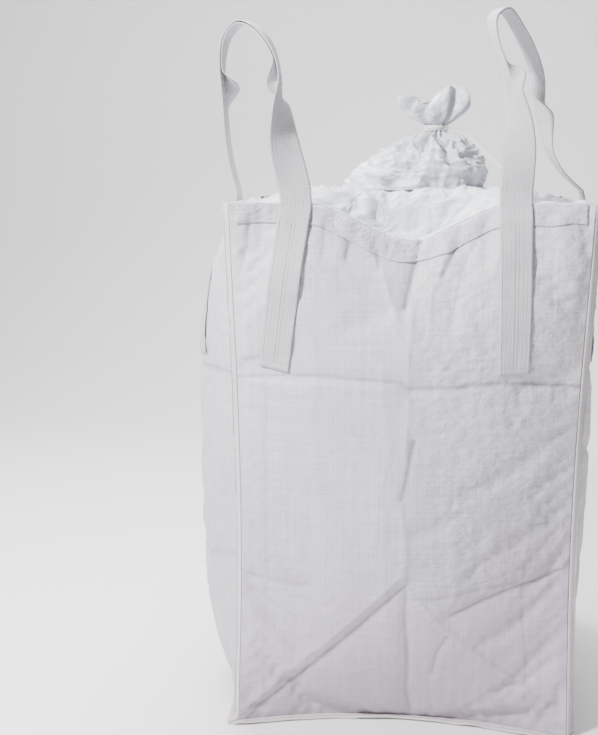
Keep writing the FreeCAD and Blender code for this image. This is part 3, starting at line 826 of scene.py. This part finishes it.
def make_floor_seam(walls):
    """The seam allowances that flare out on the floor."""
    pieces, lines = [], []
    for k, wall in enumerate(WALLS):
        line = base_line(wall, walls)
        along, outward = (np.array(v) for v in WALLS[wall])
        n = len(line)
        s = np.linspace(-1, 1, n)
        columns = []
        for t in np.linspace(0, 1, 6):
            wave = patches(s * 9, s * 0 + k, 40 + k)
            width = 0.024 + 0.004 * patches(s * 5, s * 0, 60 + k) + 0.004 * smooth((s - 0.3) / 0.6)
            ring = line + outward * (t * width)[:, None]
            ring += along * (s * 0.022 * t * smooth((np.abs(s) - 0.9) / 0.1))[:, None]
            ring[:, 2] = 0.0065 - 0.003 * t + 0.004 * (wave + 0.5) * t
            ring[:, 2] = np.maximum(ring[:, 2], 0.0020)
            columns.append(ring)
        pieces.append(np.array(columns).transpose(1, 0, 2))
        stitch_row = pieces[-1][:, 3]
        lines.append([(p + np.array((0, 0, 0.0022)), (0, 0, 1)) for p in stitch_row[6:-6:3]])
    points, faces, offset = [], [], 0
    for grid in pieces:
        n, m = grid.shape[:2]
        faces += quads(np.arange(n * m).reshape(n, m) + offset)
        points.append(grid.reshape(-1, 3))
        offset += n * m
    points = np.vstack(points)
    obj = mesh_object("floor_fin", points, faces, points[:, :2], cloth_marks(len(points), 0.6))
    thicken(obj, 0.0030, 0.0)
    finish_piece(obj, "seam", "seam_cloth", "bag", "base_seam")
    thread = stitches("floor_thread", lines, 0.0085, 0.0007)
    finish_piece(thread, "edge_thread", "sewing_thread", "bag", "base_seam_stitching")


# ---- top panel and spout ----


def make_top(walls):
    tree = cad_tree("top_panel")
    angles, rings = 384, 64
    grid = np.empty((angles, rings, 3))
    edge = {wall: walls[wall][:, -1, :] for wall in WALLS}
    for i in range(angles):
        angle = 2 * math.pi * (i + 0.5) / angles
        c, s = math.cos(angle), math.sin(angle)
        wall = "right" if c > abs(s) else "left" if -c > abs(s) else "rear" if s > 0 else "front"
        lateral = float(np.dot((c, s), WALLS[wall][0][:2])) / max(abs(c), abs(s))
        row = edge[wall]
        at = (lateral + 1) / 2 * (len(row) - 1)
        rim = row[int(at)] * (1 - at % 1) + row[min(int(at) + 1, len(row) - 1)] * (at % 1)
        root = np.array((SPOUT_RADIUS * c, SPOUT_RADIUS * s, SPOUT_BASE_Z))
        for j, t in enumerate(np.linspace(0, 1, rings)):
            p = rim * (1 - t) + root * t
            p[:2] -= p[:2] / np.linalg.norm(p[:2]) * 0.003 * (1 - t)
            hit = tree.ray_cast(Vector((p[0], p[1], 1.7)), Vector((0, 0, -1)), 0.6)[0]
            if hit is not None:
                blend = min(1.0, t / 0.10)
                p[2] = p[2] * (1 - blend) + hit.z * blend
            grid[i, j] = p
    x, y = grid[..., 0], grid[..., 1]
    t = np.linspace(0, 1, rings)[None, :]
    angle = np.arctan2(y, x)
    around = angle / (2 * math.pi) * 64
    fade = smooth(t / 0.12) * smooth((1 - t) / 0.06)
    rise = 0.013 * (crumple(x * 11, y * 11, 3, 3) - 0.3)
    rise += 0.008 * (crumple(around * 1.0, np.hypot(x, y) * 9, 9, 2) - 0.3)
    gathers = np.exp(-((x - 0.01) / 0.12) ** 2) * smooth((-y - 0.20) / 0.1)
    rise += 0.012 * gathers * crumple(x * 26, y * 6, 21, 2)
    grid[..., 2] += rise * fade
    uv = np.stack([x, y], -1)
    obj = grid_object("top_sheet", grid, uv, None, closed=True)
    thicken(obj, 0.0010, 0.0)
    finish_piece(obj, "film", "light_cloth", "bag", "top_panel")


# Spout's left and right outline in the front view, from its seam to the tie: (height, left, right)
SPOUT_OUTLINE = (
    (1.428, -0.205, 0.205), (1.450, -0.178, 0.208), (1.475, -0.152, 0.209), (1.500, -0.122, 0.204),
    (1.525, -0.088, 0.194), (1.548, -0.050, 0.172), (1.568, -0.008, 0.144),
    (1.582, 0.026, 0.112), (1.592, 0.042, 0.098),
)
MOUTH_OUTLINE = (
    (1.608, 0.042, 0.098), (1.620, 0.018, 0.122), (1.636, -0.008, 0.144),
    (1.655, -0.020, 0.156), (1.672, -0.014, 0.150),
)


def ring_shape(angle, height, pleats, seed):
    """Irregular pleats round a gathered tube, as a share of its radius."""
    wave = np.cos(pleats * angle + 2.2 * patches(angle * 1.6, angle * 0 + height * 8, seed))
    return wave + 0.6 * patches(angle * 3.4, angle * 0 + height * 14, seed + 1)


def tube(outline, count, gather, seed, pleats):
    """Rings of cloth from an outline; gather is how deep the pleats are, by ring."""
    angles = 288
    curve = spline([(0, left, z, right) for z, left, right in outline], count)
    grid = np.empty((angles, count, 3))
    angle = np.linspace(-math.pi, math.pi, angles, endpoint=False)
    for j, (_, left, z, right) in enumerate(curve):
        radius, centre = (right - left) / 2, (right + left) / 2
        depth = gather(j / (count - 1))
        r = radius * (1 + depth * ring_shape(angle, z, pleats, seed))
        grid[:, j, 0] = centre + r * np.cos(angle)
        grid[:, j, 1] = r * np.sin(angle)
        grid[:, j, 2] = z
    return grid, angle


def make_spout():
    def gathered(t):
        return 0.004 + 0.05 * t**1.5 + 0.10 * float(smooth((t - 0.75) / 0.25))

    dome, angle = tube(SPOUT_OUTLINE, 90, gathered, 5, 15)
    a = np.repeat(angle[:, None], dome.shape[1], 1)
    t = np.linspace(0, 1, dome.shape[1])[None, :]
    around, up = (a / math.pi + 1) * 5, t * 4
    long_folds = crumple(around * 2.0 + 0.35 * up, up * 0.45, 15, 2) - 0.35
    cross_folds = crumple(around * 1.1 + up, up * 1.5, 25, 2) - 0.35
    rise = 0.024 * long_folds + 0.020 * cross_folds
    rise = rise + 0.0015 * (crumple(around * 5, up * 4, 29, 1) - 0.3)
    rise = rise * smooth(t / 0.08) * smooth((1 - t) / 0.15)
    outwards = dome - np.array((SPOUT_SHIFT * 0.6, 0, 1.40))
    outwards /= np.linalg.norm(outwards, axis=2, keepdims=True)
    dome += outwards * rise[..., None]
    mouth, _ = tube(MOUTH_OUTLINE, 54, lambda t: 0.12 + 0.16 * t, 6, 9)
    mt = np.linspace(0, 1, mouth.shape[1])[None, :]
    ma = np.repeat(angle[:, None], mouth.shape[1], 1)
    peak = 0.046 * np.exp(-((ma + 0.9) / 0.75) ** 2) + 0.030 * np.exp(-((ma - 0.9) / 0.8) ** 2)
    peak += 0.016 * np.exp(-((np.abs(ma) - 2.75) / 0.5) ** 2)
    dip = -0.012 * np.exp(-((ma + 2.0) / 0.25) ** 2)
    mouth[..., 2] += (peak + dip) * mt**1.3
    mouth[..., 1] *= 1 - 0.45 * mt
    mouth[..., 0] += 0.010 * patches(ma * 2.2, mt * 3 + ma * 0, 33) * mt
    mouth[..., 1] += 0.012 * patches(ma * 2.6, mt * 3 + ma * 0, 34) * mt
    mouth += 0.006 * (crumple(ma * 3, mt * 4 + ma * 0, 35, 2)[..., None] - 0.3) * mt[..., None]
    neck_rows = 8
    ends = np.linspace(0, 1, neck_rows + 2)[1:-1]
    neck = dome[:, -1:, :] * (1 - ends)[None, :, None] + mouth[:, :1, :] * ends[None, :, None]
    grid = np.concatenate([dome, neck, mouth], axis=1)
    u = np.repeat((angle * SPOUT_RADIUS)[:, None], grid.shape[1], 1)
    v = np.repeat(lengths(grid[0])[None, :], len(angle), 0)
    uv = np.stack([u, v], -1)
    obj = grid_object("spout_cloth", grid, uv, None, closed=True)
    thicken(obj, 0.0008, 0.0)
    finish_piece(obj, "spout", "light_cloth", "bag", "filling_spout")


def make_spout_seam():
    angles = np.linspace(-math.pi, math.pi, 240, endpoint=False)
    grid = np.empty((240, 8, 3))
    for j, t in enumerate(np.linspace(0, 1, 8)):
        radius = SPOUT_RADIUS + 0.020 * t + 0.002 * patches(angles * 6, angles * 0 + t, 4)
        grid[:, j, 0] = radius * np.cos(angles)
        grid[:, j, 1] = radius * np.sin(angles)
        wave = 0.0015 * patches(angles * 9, angles * 0 + t * 2, 14)
        grid[:, j, 2] = SPOUT_BASE_Z + 0.0045 + wave - 0.001 * t
    obj = grid_object("spout_band", grid, grid[..., :2], None, closed=True)
    thicken(obj, 0.0014, 0.0)
    finish_piece(obj, "film", "light_cloth", "bag", "spout_seam_band")
    line = [(grid[k % 240, 4] + np.array((0, 0, 0.0012)), (0, 0, 1)) for k in range(241)]
    thread = stitches("spout_thread", [line], 0.0075, 0.0006)
    finish_piece(thread, "thread", "sewing_thread", "bag", "spout_seam_stitching")


def ribbon(name, path, across, width, thick):
    """Flat tape along a path of points, with the direction across it at each point."""
    path, across = np.asarray(path), np.asarray(across)
    grid = np.stack([path + across * (w * width) for w in np.linspace(-0.5, 0.5, 5)], 0)
    u = np.repeat(np.linspace(0, width, 5)[:, None], len(path), 1)
    v = np.repeat(lengths(path)[None], 5, 0)
    uv = np.stack([u, v], -1)
    return thicken(grid_object(name, grid, uv), thick, 0.0)


def make_tie():
    turns, count = 3, 260
    t = np.linspace(0, 1, count)
    angle = -0.9 + 2 * math.pi * turns * t
    radius = 0.0325 + 0.0010 * t + 0.0006 * patches(angle, angle * 0, 17)
    c, s = np.cos(angle), np.sin(angle)
    path = np.stack([SPOUT_SHIFT + radius * c, radius * s, NECK_Z - 0.004 + 0.008 * t], -1)
    across = np.repeat([[0, 0, 1]], count, 0) + 0.15 * np.stack([c, s, angle * 0], -1)
    obj = ribbon("tie_turns", path, across, 0.010, 0.0008)
    finish_piece(obj, "tape", "tie_tape", "bag", "spout_tie_wrap")
    centre = np.array((SPOUT_SHIFT + 0.030, -0.034, NECK_Z))
    s = np.linspace(0, 2 * math.pi, 150, endpoint=False)
    x, y, z = np.sin(s) + 2 * np.sin(2 * s), -np.sin(3 * s) * 0.8, np.cos(s) - 2 * np.cos(2 * s)
    knot = np.stack([x, y, z], -1) * 0.0022 + centre
    knot = np.vstack([knot, knot[:1]])
    lean = np.cross(np.gradient(knot, axis=0), knot - centre + 1e-6)
    lean /= np.linalg.norm(lean, axis=1, keepdims=True)
    obj = ribbon("tie_knot", knot, lean, 0.0055, 0.0012)
    finish_piece(obj, "tape", "tie_tape", "bag", "spout_tie_knot")


def nurbs_points(route):
    """Points along the smooth line that has the route's points as its control points."""
    curve = bpy.data.curves.new("route", "CURVE")
    curve.dimensions = "3D"
    line = curve.splines.new("NURBS")
    line.points.add(len(route) - 1)
    for point, place in zip(line.points, route):
        point.co = (*place, 1)
    line.order_u = 3
    line.use_endpoint_u = True
    line.resolution_u = 16
    holder = bpy.data.objects.new("route", curve)
    mesh = bpy.data.meshes.new_from_object(holder)
    points = np.array([tuple(v.co) for v in mesh.vertices])
    bpy.data.objects.remove(holder)
    bpy.data.meshes.remove(mesh)
    return points


def make_tails():
    for name, route in TAILS.items():
        path = nurbs_points(route)
        tangent = np.gradient(path, axis=0)
        tangent /= np.linalg.norm(tangent, axis=1, keepdims=True)
        t = np.linspace(0, 1, len(path))
        roll = 0.3 + 1.1 * t + 0.25 * np.sin(t * 7)
        side = np.cross(tangent, (0, 0, 1.0))
        side /= np.linalg.norm(side, axis=1, keepdims=True)
        across = side * np.cos(roll)[:, None] + np.cross(tangent, side) * np.sin(roll)[:, None]
        obj = ribbon(name.replace("spout_", "") + "_tape", path, across, TAPE, 0.0009)
        finish_piece(obj, "tape", "tie_tape", "bag", name)


# ---- lifting loops ----


def fold_section(fold):
    """Section of webbing, flat at fold 0, doubled over lengthwise at fold 1: across, out, place in it."""
    shares = [np.linspace(-0.5, -0.08, 7), np.linspace(-0.06, 0.06, 9), np.linspace(0.08, 0.5, 7)]
    w = np.concatenate(shares) * WEBBING
    turn = fold * math.pi * 0.985 * smooth((w / WEBBING + 0.06) / 0.12)
    steps = np.diff(w)
    middle = (turn[1:] + turn[:-1]) / 2
    x = np.concatenate([[0], np.cumsum(np.cos(middle) * steps)]) - WEBBING / 2
    y = np.concatenate([[0], np.cumsum(np.sin(middle) * steps)])
    return x + fold * WEBBING / 4, y - fold * 0.0032, w


def strap_mesh(name, stations):
    """Webbing along stations of (place, direction across, fold)."""
    places = np.array([tuple(p) for p, _, _ in stations])
    tangent = np.gradient(places, axis=0)
    tangent /= np.maximum(np.linalg.norm(tangent, axis=1, keepdims=True), 1e-9)
    across = np.array([tuple(a) for _, a, _ in stations])
    across -= tangent * (across * tangent).sum(1)[:, None]
    across /= np.linalg.norm(across, axis=1, keepdims=True)
    normal = np.cross(tangent, across)
    steps = lengths(places)
    rows, uvs = [], []
    for k, (_, _, fold) in enumerate(stations):
        x, y, w = fold_section(fold)
        ripple = 0.0006 * patches(w * 60, w * 0 + steps[k] * 24, 19)
        rows.append(places[k] + np.outer(x, across[k]) + np.outer(y + ripple, normal[k]))
        uvs.append(np.stack([w + WEBBING / 2, np.full(w.shape, steps[k])], -1))
    grid = np.array(rows).transpose(1, 0, 2)
    obj = grid_object(name, grid, np.array(uvs).transpose(1, 0, 2))
    return thicken(obj, WEB_THICK, 0.0), grid


def leg_stations(skins, leg, going_up):
    """Sewn webbing on a wall, from its cut end up to the top edge, tilted to lie on the cloth under it."""
    wall, top_side, end_side = leg
    along, outward = WALLS[wall]
    top = float(top_edge(wall, top_side / HALF_WIDTH)) - 0.004
    stations = []
    for t in np.linspace(0, 1, LEG_STATIONS):
        z = SEWN_END_Z + (top - SEWN_END_Z) * t
        side = end_side + (top_side - end_side) * t
        touched = [skins[wall].at(side + w * WEBBING, z)[0] for w in (-0.48, -0.24, 0, 0.24, 0.48)]
        across = (touched[4] - touched[0]).normalized()
        middle = (touched[0] + touched[4]) / 2
        rise = max((p - middle - across * (p - middle).dot(across)).dot(outward) for p in touched)
        over_hem = float(smooth((z - top + HEM + 0.012) / 0.014))
        lift = 0.0022 + 0.0034 * over_hem
        place = middle + outward * (rise + lift)
        stations.append((place + along * (side - place.dot(along)), across, 0.0))
    return stations if going_up else stations[::-1]


def fold_amount(t):
    low, high = FOLDED_PART
    return float(smooth((t - low + 0.10) / 0.12) * smooth((high + 0.10 - t) / 0.12))


def leg_thread(name, leg, rows, node):
    """Rows of stitches down a sewn leg and across its ends; rows run from the webbing's cut end up."""
    outward = np.array(WALLS[leg[0]][1])
    lines = [[(p + outward * 0.0017, outward) for p in rows[i, 2:-4]] for i in (1, 8, 14, 21)]
    lines += [[(p + outward * 0.0017, outward) for p in rows[1:22, k]] for k in (2, -5)]
    finish_piece(stitches(name, lines, 0.0075, 0.0005), "thread", "sewing_thread", "bag", node)


def make_standing_loops(skins):
    for corner, line in STANDING.items():
        front, side = LEGS[corner]
        stations = leg_stations(skins, front, True)
        for k, (x, y, z, turn) in enumerate(spline(line, FREE_STATIONS)):
            angle = math.radians(turn)
            across = Vector((math.cos(angle), math.sin(angle), 0))
            stations.append((Vector((x, y, z)), across, fold_amount(k / (FREE_STATIONS - 1))))
        tail = leg_stations(skins, side, False)
        across = Vector((0, 1 if line[-1][3] > 0 else -1, 0))
        stations += [(p, a if a.dot(across) > 0 else -a, f) for p, a, f in tail]
        obj, grid = strap_mesh(f"loop_webbing_{corner}", stations)
        body = f"loop_{corner}"
        finish_piece(
            obj, "webbing", "webbing", None,
            f"lifting_loop_{corner}", f"loop_leg_{corner}_on_{front[0]}", f"loop_leg_{corner}_on_{side[0]}",
        )
        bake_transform(obj)
        for leg, rows in ((front, grid[:, :LEG_STATIONS]), (side, grid[:, :-LEG_STATIONS - 1:-1])):
            leg_thread(f"leg_thread_{corner}_{leg[0]}", leg, rows, f"leg_stitching_{corner}_on_{leg[0]}")
        bars = []
        for start in BAR_STARTS:
            for k in range(LEG_STATIONS + start, LEG_STATIONS + start + 8, 2):
                strip = grid[3:20, k]
                up = grid[3:20, k + 1] - strip
                along = np.gradient(strip, axis=0)
                out = np.cross(along, up)
                out /= np.linalg.norm(out, axis=1, keepdims=True)
                for face in (1, -1):
                    bars.append([(p + o * face * 0.0016, o * face) for p, o in zip(strip[:8], out[:8])])
        marks = stitches(f"bartack_{corner}", bars, 0.0042, 0.0007, 0.9)
        finish_piece(marks, "thread", "sewing_thread", body, f"loop_bartack_{corner}")


def make_hanging_loops(skins):
    for corner in ("rear_left", "rear_right"):
        sx, sy = CORNERS[corner]
        for rear_half, leg in zip((True, False), LEGS[corner]):
            wall = leg[0]
            along, outward = WALLS[wall]
            stations = leg_stations(skins, leg, True)
            middle = Vector((sx * HANGING_MIDDLE[0], sy * HANGING_MIDDLE[1], HANGING_MIDDLE[2]))
            rows = []
            for (x, y, z), extra in zip(HANGING_HALF, HANGING_EXTRA[corner]):
                rows.append((sx * x, sy * y, z) if rear_half else (sx * (y + extra), sy * x, z))
            rows.append(tuple(middle))
            free = spline(rows, HANGING_STATIONS)
            facing_middle = (Vector((sx, 0, 0)) + Vector((0, sy, 0))).normalized()
            for k, (x, y, z) in enumerate(free):
                t = k / (HANGING_STATIONS - 1)
                here = free[min(k + 1, HANGING_STATIONS - 1)] - free[max(k - 1, 0)]
                here = Vector(here).normalized()
                out = outward.lerp(facing_middle, float(smooth((t - 0.70) / 0.30)))
                if t < 0.14:
                    across = along
                else:
                    across = here.cross(out).normalized()
                    if across.dot(along) * (-1 if here.z < -0.5 else 1) < 0 and t < 0.5:
                        across = -across
                stations.append((Vector((x, y, z)), across, fold_amount(t * 0.5)))
            fixed = [stations[0]]
            for place, across, fold in stations[1:]:
                before = fixed[-1][1]
                fixed.append((place, across if across.dot(before) >= 0 else -across, fold))
            half = "rear" if rear_half else "side"
            sewn, grid = strap_mesh(f"loop_leg_webbing_{corner}_{wall}", fixed[: LEG_STATIONS + 1])
            finish_piece(sewn, "webbing", "webbing", "bag", f"loop_leg_{corner}_on_{wall}")
            obj, _ = strap_mesh(f"loop_webbing_{corner}_{half}", fixed[LEG_STATIONS:])
            finish_piece(obj, "webbing", "webbing", None, f"lifting_loop_{corner}")
            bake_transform(obj)
            node = f"leg_stitching_{corner}_on_{wall}"
            leg_thread(f"leg_thread_{corner}_{wall}", leg, grid[:, :LEG_STATIONS], node)


# ---- studio ----


def make_studio():
    bend = [(3.0 + 2.0 * math.sin(a), 2.0 - 2.0 * math.cos(a)) for a in np.linspace(0, math.pi / 2, 24)]
    profile = np.array([(-7.0, 0.0)] + bend + [(5.0, 9.0)])
    sweep = np.array([[(x, y, z) for y, z in profile] for x in (-12.0, 12.0)])
    floor = grid_object("studio_floor", sweep)
    floor.data.materials.append(MATERIALS["floor"])
    world = bpy.data.worlds.new("studio")
    world.use_nodes = True
    world.node_tree.nodes["Background"].inputs[0].default_value = (1, 1, 1, 1)
    world.node_tree.nodes["Background"].inputs[1].default_value = 0.36
    bpy.context.scene.world = world
    lamps = (
        ("key", (-2.3, -2.5, 3.4), 0.45, 430),
        ("back_left", (-1.6, 1.6, 3.6), 1.2, 150),
        ("backdrop", (0.0, 1.5, 5.5), 3.0, 420),
    )
    for name, place, size, power in lamps:
        light = bpy.data.lights.new(name, "AREA")
        light.size = size
        light.energy = power
        lamp = bpy.data.objects.new(name, light)
        lamp.location = place
        lamp.rotation_euler = (Vector((0, 0, 0.9)) - Vector(place)).to_track_quat("-Z", "Y").to_euler()
        bpy.context.scene.collection.objects.link(lamp)


def make_camera():
    data = bpy.data.cameras.new("camera")
    data.lens = 51.4
    camera = bpy.data.objects.new("camera", data)
    camera.location = (0, -3.06, 1.445)
    camera.rotation_euler = (math.radians(90 - 9.9), 0, math.radians(5.93))
    bpy.context.scene.collection.objects.link(camera)
    bpy.context.scene.camera = camera


make_camera()
make_tails()
walls = make_walls()
skins = {wall: WallSkin(wall, grid) for wall, grid in walls.items()}
make_hems(skins)
make_corners()
make_base(walls)
make_floor_seam(walls)
make_top(walls)
make_spout()
make_spout_seam()
make_tie()
make_standing_loops(skins)
make_hanging_loops(skins)
make_studio()
